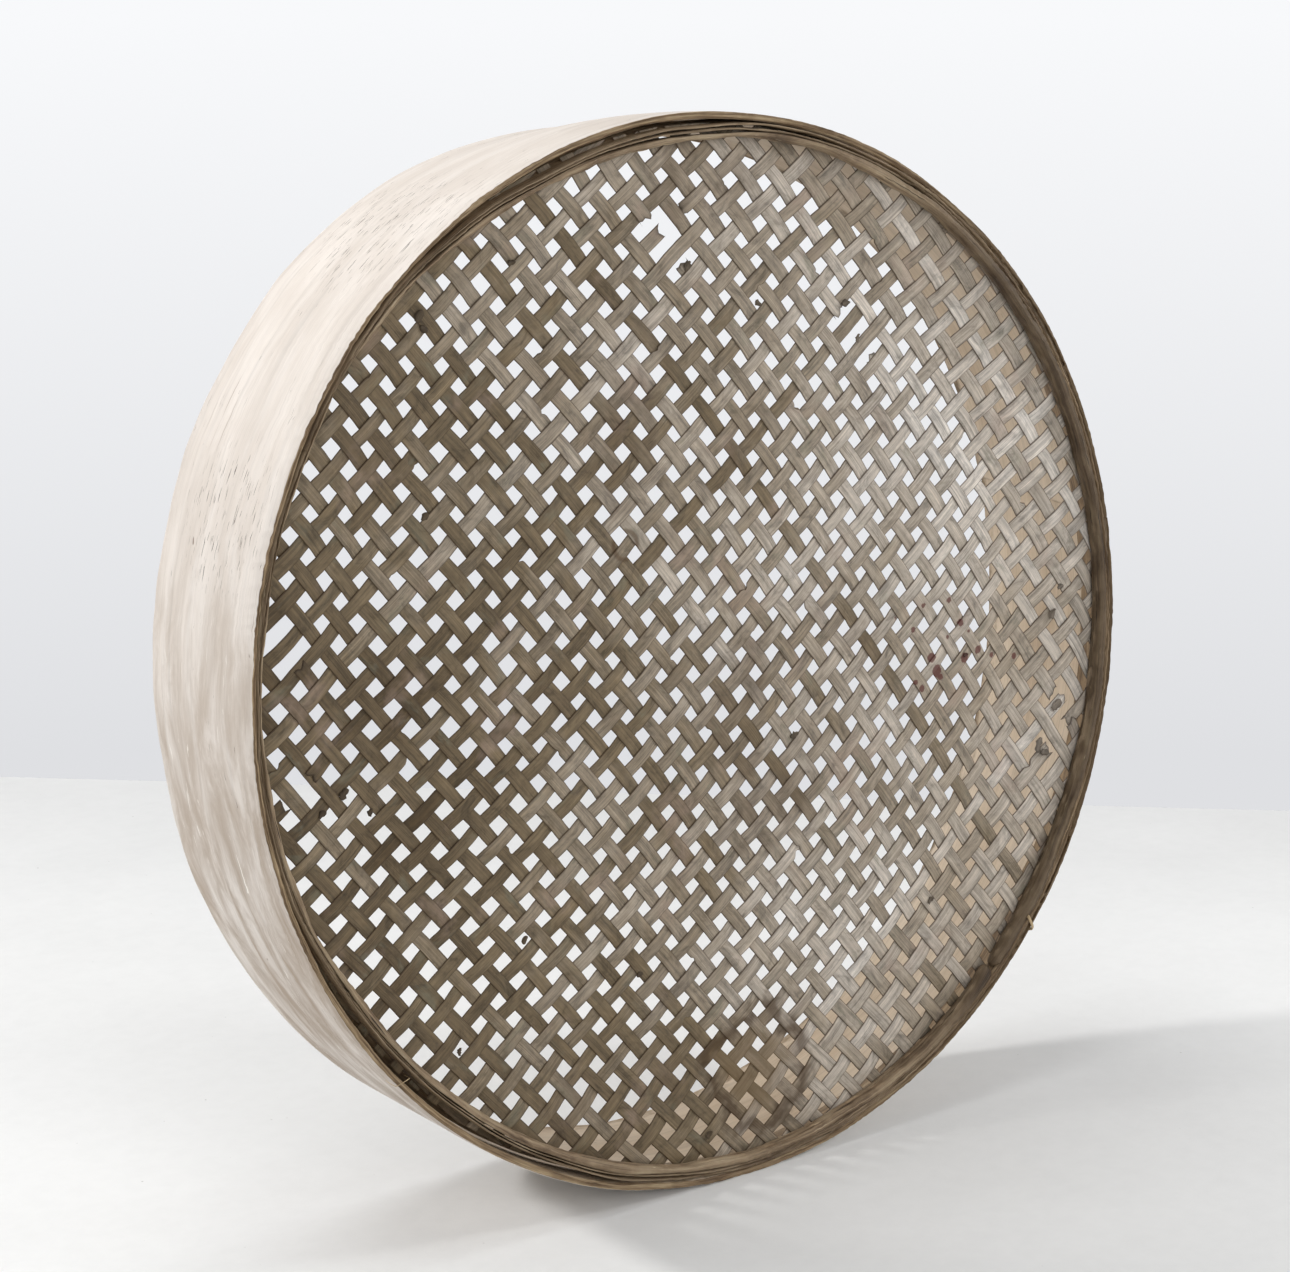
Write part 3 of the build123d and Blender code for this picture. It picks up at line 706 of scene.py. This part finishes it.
def stitch(name, deg, width, thick):
    """A strand of cane that passes round the rim layers and is tucked back in."""
    a = math.radians(deg)
    b = Builder()
    c, s = math.cos(a), math.sin(a)
    loop = []
    path = [(0.3905, -0.0605), (0.3908, -0.066), (0.3904, -0.0702), (0.3880, -0.0708), (0.3850, -0.0709), (0.3820, -0.0708), (0.3798, -0.0702), (0.3790, -0.066), (0.3790, -0.0605)]
    for i, (r, y) in enumerate(path):
        k = (i / (len(path) - 1) - 0.5) * 0.010
        loop.append([r * c - k * s, y, Z0 + r * s + k * c])
    loop = np.array(loop)
    fine = []
    for i in range(len(loop) - 1):
        for u in (0, 0.25, 0.5, 0.75):
            fine.append(loop[i] * (1 - u) + loop[i + 1] * u)
    fine.append(loop[-1])
    fine = np.array(fine)
    # strand with its width along the hoop
    tan = np.gradient(fine, axis=0)
    tan /= np.linalg.norm(tan, axis=1, keepdims=True)
    wdir = np.array([-s, 0, c])
    nor = np.cross(tan, wdir)
    nor /= np.linalg.norm(nor, axis=1, keepdims=True)
    P = np.stack([fine + wdir * width / 2 * a1 + nor * thick / 2 * a2 for a1, a2 in ((-1, 1), (0, 1.3), (1, 1), (1, -1), (0, -1), (-1, -1))], 1)
    L = np.concatenate([[0], np.cumsum(np.linalg.norm(np.diff(fine, axis=0), axis=1))])
    uv = np.stack([np.repeat(L[:, None], 7, 1), np.repeat(np.linspace(0, 2 * width, 7)[None], len(fine), 0)], -1)
    b.grid(P, uv, np.zeros((len(fine), 6, 3)), ring=True, caps=True)
    return b.make(name + "_visual", CANE, name, "cane")


# ------------------------------------------------------------------ the plaited base
# (strip family, number from 0, from crossing, to crossing): stretches that are broken away
BREAKS = [
    (0, 27, 4.36, 6.55),
    (1, 5, 26.62, 27.72),
    (0, 31, 12.38, 14.62),
    (0, 7, -9, 5.62),
    (1, 9, 3.3, 4.60),
    (0, 28, 31.7, 33.4),
    (0, 30, 31.0, 32.4),
    (0, 30, 33.6, 35.0),
    (1, 32, 29.5, 31.4),
    (1, 33, 27.6, 28.9),
]


# how the hand-laid strips wander from the even spacing: cubic in place and length, millimetres
WANDER = {
    0: [(3.8, 0, 0), (-2.12, 0, 1), (-12.94, 0, 2), (6.57, 0, 3), (4.44, 1, 0), (-3.84, 1, 1), (-43.87, 1, 2), (-10.0, 2, 0), (3.41, 2, 1), (12.03, 3, 0)],
    1: [(2.85, 0, 0), (-7.18, 0, 1), (-7.5, 0, 2), (0.91, 0, 3), (-1.08, 1, 0), (-6.24, 1, 1), (-9.22, 1, 2), (-13.15, 2, 0), (10.21, 2, 1), (13.57, 3, 0)],
}


def drift(fam, c, s):
    """Sideways drift of a strip from the even spacing, in metres: c is its place, s is along it."""
    s = np.asarray(s, float)
    u, v = (c, s) if fam == 0 else (s, c)
    u, v = u / 0.38, v / 0.38
    total = sum(k * u**i * v**j for k, i, j in WANDER[fam])
    return 0.001 * np.clip(total, -20, 11)


def base_rise(r):
    """How far the base comes forward to meet the lip ring near the rim, in metres."""
    t = np.clip((r - 0.290) / 0.082, 0, 1)
    return 0.0125 * t * t * (3 - 2 * t)


rng = np.random.default_rng(5)
OFF = [rng.normal(size=FALL_N) * 0.00042, rng.normal(size=RISE_N) * 0.00042]
WID = [WIDTH * (1 + np.clip(rng.normal(size=FALL_N), -1.6, 1.6) * 0.045), WIDTH * (1 + np.clip(rng.normal(size=RISE_N), -1.6, 1.6) * 0.045)]
TONE = [np.clip(0.5 + rng.normal(size=FALL_N) * 0.22, 0, 1), np.clip(0.5 + rng.normal(size=RISE_N) * 0.22, 0, 1)]
PLACE = [FALL_FIRST + FALL_PITCH * np.arange(FALL_N), RISE_FIRST + RISE_PITCH * np.arange(RISE_N)]
WOB = [[along(1000 + i, 0.075) for i in range(FALL_N)], [along(2000 + i, 0.075) for i in range(RISE_N)]]


def sideways(fam, i, s):
    return OFF[fam][i] + WOB[fam][i](s) * 0.00042 + drift(fam, PLACE[fam][i], s)


def is_broken(fam, i, x):
    return any(f == fam and j == i and a < x < b for f, j, a, b in BREAKS)


def weave_knots(fam, i):
    """(s, lift) pairs of the strip's path over and under the strips that it crosses."""
    other = 1 - fam
    ks, ys = [], []
    for j in range(len(PLACE[other])):
        c = PLACE[other][j]
        if abs(c) > 0.42:
            continue
        s = c + float(sideways(other, j, PLACE[fam][i]))
        k, m = (i, j) if fam == 0 else (j, i)
        falling_front = (m + k) % 2 == 1
        front = falling_front if fam == 0 else not falling_front
        h = WID[other][j] / 2 + 0.0005
        lift = -LIFT if front else LIFT
        if is_broken(other, j, i):
            lift *= 0.25
        ks += [s - h, s + h]
        ys += [lift, lift]
    order = np.argsort(ks)
    return np.array(ks)[order], np.array(ys)[order]


ACROSS = np.array([-1.0, -0.93, -0.55, 0.0, 0.55, 0.93, 1.0])
CROWN = np.array([0.25, 0.92, 1.0, 1.04, 1.0, 0.92, 0.25])


def rim_end(fam, i, v, sign):
    """Where a strip that has wandered meets the hoop."""
    c = PLACE[fam][i]
    s = sign * np.sqrt(np.maximum(R_END**2 - np.minimum(np.abs(c + v), 0.3789) ** 2, 0.0005**2))
    for _ in range(8):
        p = c + v + sideways(fam, i, s)
        s = 0.5 * s + 0.5 * sign * np.sqrt(np.maximum(R_END**2 - np.minimum(np.abs(p), 0.3789) ** 2, 0.0005**2))
    return s


def splint_part(b, fam, i, s0, s1, torn0, torn1, seed):
    """One whole stretch of a strip. s0, s1 are None at the hoop, or metres where it is torn."""
    c = PLACE[fam][i]
    d, e = (FALL_DIR, RISE_DIR) if fam == 0 else (RISE_DIR, FALL_DIR)
    w = WID[fam][i]
    v = ACROSS * w / 2
    g = np.random.default_rng(seed)
    a = rim_end(fam, i, v, -1) if s0 is None else s0 + g.uniform(-0.0028, 0.0028, 7)
    z = rim_end(fam, i, v, 1) if s1 is None else s1 + g.uniform(-0.0028, 0.0028, 7)
    length = float(np.max(z) - np.min(a))
    if length < 0.004:
        return
    n = max(8, int(length / 0.0020))
    t = np.linspace(0, 1, n)[:, None]
    s = a[None] + (z - a)[None] * t
    nick_l, nick_r = along(seed + 71, 0.006), along(seed + 72, 0.006)
    slow_l, slow_r = along(seed + 73, 0.045), along(seed + 74, 0.045)
    left = slow_l(s[:, 3]) * 0.00024 + nick_l(s[:, 3]) * 0.00008 - np.clip(nick_l(s[:, 3] * 0.7) - 2.35, 0, 1) * 0.0030
    right = slow_r(s[:, 3]) * 0.00024 + nick_r(s[:, 3]) * 0.00008 - np.clip(nick_r(s[:, 3] * 0.7) - 2.35, 0, 1) * 0.0030
    half_l = w / 2 + left
    half_r = w / 2 + right
    lat = np.where(ACROSS[None] < 0, ACROSS[None] * half_l[:, None], ACROSS[None] * half_r[:, None])
    lat = lat + sideways(fam, i, s)
    kx, ky = weave_knots(fam, i)
    y = np.interp(s, kx, ky)
    # ease the corners of the path
    y = (y + np.interp(s - 0.0010, kx, ky) + np.interp(s + 0.0010, kx, ky)) / 3
    cup = 0.00010 * (ACROSS[None] ** 2) * along(seed + 75, 0.05)(s)
    y = BASE_Y + y + cup + along(seed + 76, 0.03)(s) * 0.00005 - base_rise(np.hypot(s, c + lat))
    th = THICK / 2 * CROWN[None] * np.ones((n, 1))
    dark = np.zeros((n, 7))
    for is_torn, at, sgn in ((torn0, a, 1), (torn1, z, -1)):
        if is_torn:
            dist = np.abs(s - at[None])
            th = th * np.clip(dist / 0.003, 0.25, 1)
            y = y + g.normal(0, 0.0006) * np.exp(-dist / 0.006)
            dark = np.maximum(dark, np.exp(-dist / 0.0018) * 0.75)
    hold = np.minimum(1.0, (R_END + 0.0008) / np.hypot(s, c + lat))
    X = (d[0] * s + e[0] * (c + lat)) * hold
    Z = (d[1] * s + e[1] * (c + lat)) * hold
    front = np.stack([X, y - th, Z0 + Z], -1)
    back = np.stack([X, y + th, Z0 + Z], -1)[:, ::-1]
    pts = np.concatenate([front, back], 1)
    uvu = np.concatenate([s, s[:, ::-1], s[:, :1]], 1) + (i * 1.37 + fam * 60.3)
    vv = np.concatenate([v, v[::-1] + 0.02, [v[0]]])
    uv = np.stack([uvu, np.repeat(vv[None], n, 0) + i * 0.31 + fam * 17.0], -1)
    edge = np.abs(np.concatenate([ACROSS, ACROSS[::-1]]))
    mark = np.stack([np.full((n, 14), TONE[fam][i]), np.repeat(edge[None], n, 0), np.concatenate([dark, dark[:, ::-1]], 1)], -1)
    b.grid(pts, uv, mark, ring=True, caps=True)


def splint(b, fam, i):
    c = PLACE[fam][i]
    pitch, first = (RISE_PITCH, RISE_FIRST) if fam == 0 else (FALL_PITCH, FALL_FIRST)
    cuts = sorted((a, z) for f, j, a, z in BREAKS if f == fam and j == i)
    at = lambda x: first + pitch * x
    reach = math.sqrt(max(R_END**2 - c**2, 0.001))
    start, torn = None, False
    seed = 100 + i * 7 + fam * 700
    for a, z in cuts:
        sa, sz = at(a), at(z)
        if sa > -reach + 0.003:
            splint_part(b, fam, i, start, sa, torn, True, seed)
            seed += 1
        start, torn = sz, True
        if sz >= reach - 0.003:
            return
    splint_part(b, fam, i, start, None, torn, False, seed)


FLAKES = [(-0.0254, 0.2825, 0.0076, 60), (-0.2394, 0.1268, 0.0066, 40), (0.1228, 0.2556, 0.0076, 10), (0.1355, 0.2295, 0.0066, 80), (0.0749, -0.0641, 0.0076, 20), (-0.1718, -0.1801, 0.0066, 60), (-0.3140, -0.0471, 0.0086, 50), (-0.3342, -0.0567, 0.0066, 40), (-0.2937, -0.0637, 0.0057, 70), (0.3209, -0.1077, 0.0123, 70), (0.3254, -0.1141, 0.0086, -10), (0.3387, -0.0780, 0.0114, 30), (0.3365, -0.0039, 0.0086, 60), (0.3433, 0.0172, 0.0066, 20), (0.0378, 0.2568, 0.0066, -30), (-0.0683, -0.2251, 0.0057, 20), (-0.2341, -0.2472, 0.0057, 80), (-0.0116, -0.3552, 0.0066, 50), (0.2487, -0.0274, 0.0047, 20), (0.2126, -0.2146, 0.0066, 40), (-0.1749, 0.2866, 0.0057, 10), (-0.2471, 0.2557, 0.0086, 55), (-0.2428, 0.2473, 0.0066, -40)]


def flake(b, x, z, size, turn, seed):
    """A small curled scrap of torn bamboo that is caught on the weave."""
    g = np.random.default_rng(seed)
    n = 7
    t = np.linspace(-1, 1, n)
    ca, sa = math.cos(math.radians(turn)), math.sin(math.radians(turn))
    half = size * 0.30 * (1 - 0.55 * t**2) * (1 + 0.35 * g.normal(size=n).clip(-1, 1))
    rise = base_rise(math.hypot(x, z))
    lift = 0.0016 + 0.0012 * t**2 * g.uniform(0.2, 1.2)
    pts = []
    for k, side in enumerate((-1, 0, 1, 1, 0, -1)):
        u = t * size / 2
        w = side * half
        y = BASE_Y - rise - lift + (0.0003 if k > 2 else -0.0003) + abs(side) * 0.0003
        pts.append(np.stack([x + u * ca - w * sa, y, Z0 + z + u * sa + w * ca], -1))
    P = np.stack(pts, 1)
    uv = np.stack([np.repeat((t * size / 2)[:, None] + seed * 0.37, 7, 1), np.repeat(np.linspace(0, size, 7)[None], n, 0) + seed * 0.11], -1)
    b.grid(P, uv, np.zeros((n, 6, 3)) + [0.3, 0.3, 0.62], ring=True, caps=True)


NAMES = {0: "falling", 1: "rising"}
for fam, count in ((0, FALL_N), (1, RISE_N)):
    for i in range(0, count, 2):
        b = Builder()
        splint(b, fam, i)
        if i + 1 < count:
            splint(b, fam, i + 1)
            for q, (x, z, size, turn) in enumerate(FLAKES):
                if q % 19 == i // 2 and fam == 0:
                    flake(b, x, z, size, turn, 900 + q)
            node = f"{NAMES[fam]}_splints_{i + 1:02d}_{i + 2:02d}"
        else:
            node = f"{NAMES[fam]}_splint_{i + 1:02d}"
        b.make(node + "_visual", SPLINT, node, "splint_bamboo")

outer_wall().make("outer_wall_band_visual", WALL, "outer_wall_band", "wall_bamboo")
thin_hoop(301, hoop_a_out, hoop_a_thick, -0.0690, -0.0412, 152, lambda t: gap_wall(t) * 0.9).make("clamp_hoop_outer_visual", HOOP, "clamp_hoop_outer", "hoop_bamboo")
thin_hoop(401, hoop_b_out, hoop_b_thick, -0.0686, -0.0412, 64, lambda t: gap_wall(t) * 0.55).make("clamp_hoop_inner_visual", HOOP, "clamp_hoop_inner", "hoop_bamboo")
lip_ring().make("lip_ring_visual", LIP, "lip_ring", "lip_bamboo")
stitch("rim_stitch_right", -39.2, 0.0026, 0.0005)
stitch("rim_stitch_left", -139.2, 0.0006, 0.0003)

# ------------------------------------------------------------------ floor, light, camera
CAM = Vector((-1.184, -1.521, 0.800))
LOOK = Vector((0.605 * math.cos(math.radians(11.73)), 0.796 * math.cos(math.radians(11.73)), -math.sin(math.radians(11.73)))).normalized()


def floor_material():
    k = Mat("floor_paint", roughness=0.85, specular=0.2)
    pos = k.pos()
    a = k.noise(pos, 2.2, 5, 0.6)
    c = k.noise(pos, 60, 5, 0.7)
    col = k.ramp(a, (0.3, lin(231, 231, 230)), (0.7, lin(239, 239, 238)))
    col = k.mix(1.0, col, k.ramp(c, (0.3, GREY(0.975)), (0.6, GREY(1.0))), "MULTIPLY")
    sp = k.noise(pos, 190, 1, 0.5)
    col = k.mix(k.math("MULTIPLY", k.step(sp, 0.80, 0.84), 0.5), col, lin(120, 115, 105))
    k.put(k.b.inputs["Base Color"], col)
    k.put(k.b.inputs["Roughness"], k.math("MULTIPLY_ADD", c, 0.2, 0.72))
    k.put(k.b.inputs["Normal"], k.bump(c, 0.25, 0.001))
    return k.m


def floor():
    fwd = Vector((0.605, 0.796, 0)).normalized()
    right = Vector((fwd.y, -fwd.x, 0))
    base = Vector((CAM.x, CAM.y, 0))
    P = lambda f, r: tuple(base + fwd * f + right * r)
    pts = [P(3.042, -0.729), P(2.898, 0.694), P(2.60, 3.6), P(-4.5, 4.6), P(-4.5, -5.0), P(3.46, -4.8)]
    me = bpy.data.meshes.new("studio_floor")
    me.from_pydata([(x, y, -0.0002) for x, y, z in pts], [], [list(range(len(pts)))[::-1]])
    me.materials.append(floor_material())
    o = bpy.data.objects.new("studio_floor", me)
    bpy.context.scene.collection.objects.link(o)


floor()


def area(name, at, to, size, watts, color=(1, 1, 1)):
    l = bpy.data.lights.new(name, "AREA")
    l.shape = "DISK"
    l.size = size
    l.energy = watts
    l.color = color
    o = bpy.data.objects.new(name, l)
    o.location = at
    o.rotation_mode = "QUATERNION"
    o.rotation_quaternion = (Vector(to) - Vector(at)).to_track_quat("-Z", "Y")
    bpy.context.scene.collection.objects.link(o)


area("key_back_left", (-2.3, 1.5, 1.9), (0, 0, 0.4), 0.40, 50, (1.0, 0.99, 0.98))
area("top_soft", (-0.6, 0.3, 3.0), (0, 0, 0.2), 2.2, 37)
area("side_right", (1.80, -1.08, 1.20), (0.1, -0.05, 0.4), 0.45, 15, (1.0, 0.99, 0.98))
area("fill_front", (-0.6, -3.2, 1.7), (0.0, 0, 0.4), 1.8, 25, (0.98, 0.99, 1.0))

world = bpy.data.worlds.new("studio")
bpy.context.scene.world = world
world.use_nodes = True
nt = world.node_tree
nt.nodes.clear()
wo = nt.nodes.new("ShaderNodeOutputWorld")
seen = nt.nodes.new("ShaderNodeBackground")
way = nt.nodes.new("ShaderNodeTexCoord")
split = nt.nodes.new("ShaderNodeSeparateXYZ")
nt.links.new(way.outputs["Generated"], split.inputs[0])
span = nt.nodes.new("ShaderNodeMapRange")
nt.links.new(split.outputs[2], span.inputs["Value"])
span.inputs["From Min"].default_value = -0.24
span.inputs["From Max"].default_value = 0.02
shade = nt.nodes.new("ShaderNodeValToRGB")
nt.links.new(span.outputs[0], shade.inputs[0])
shade.color_ramp.elements[0].color = lin(223, 224, 227)
shade.color_ramp.elements[1].color = lin(248, 249, 251)
nt.links.new(shade.outputs[0], seen.inputs[0])
seen.inputs[1].default_value = 1.0
soft = nt.nodes.new("ShaderNodeBackground")
soft.inputs[0].default_value = lin(238, 240, 243)
soft.inputs[1].default_value = 0.40
lp = nt.nodes.new("ShaderNodeLightPath")
mx = nt.nodes.new("ShaderNodeMixShader")
nt.links.new(lp.outputs["Is Camera Ray"], mx.inputs[0])
nt.links.new(soft.outputs[0], mx.inputs[1])
nt.links.new(seen.outputs[0], mx.inputs[2])
nt.links.new(mx.outputs[0], wo.inputs[0])

cam = bpy.data.cameras.new("camera")
cam.lens = 75.1
cam.sensor_width = 36.0
cam.clip_start, cam.clip_end = 0.05, 50
co = bpy.data.objects.new("camera", cam)
co.location = CAM
co.rotation_mode = "QUATERNION"
co.rotation_quaternion = LOOK.to_track_quat("-Z", "Y")
bpy.context.scene.collection.objects.link(co)
bpy.context.scene.camera = co
bpy.context.scene.view_settings.view_transform = "Standard"
bpy.context.scene.view_settings.look = "None"
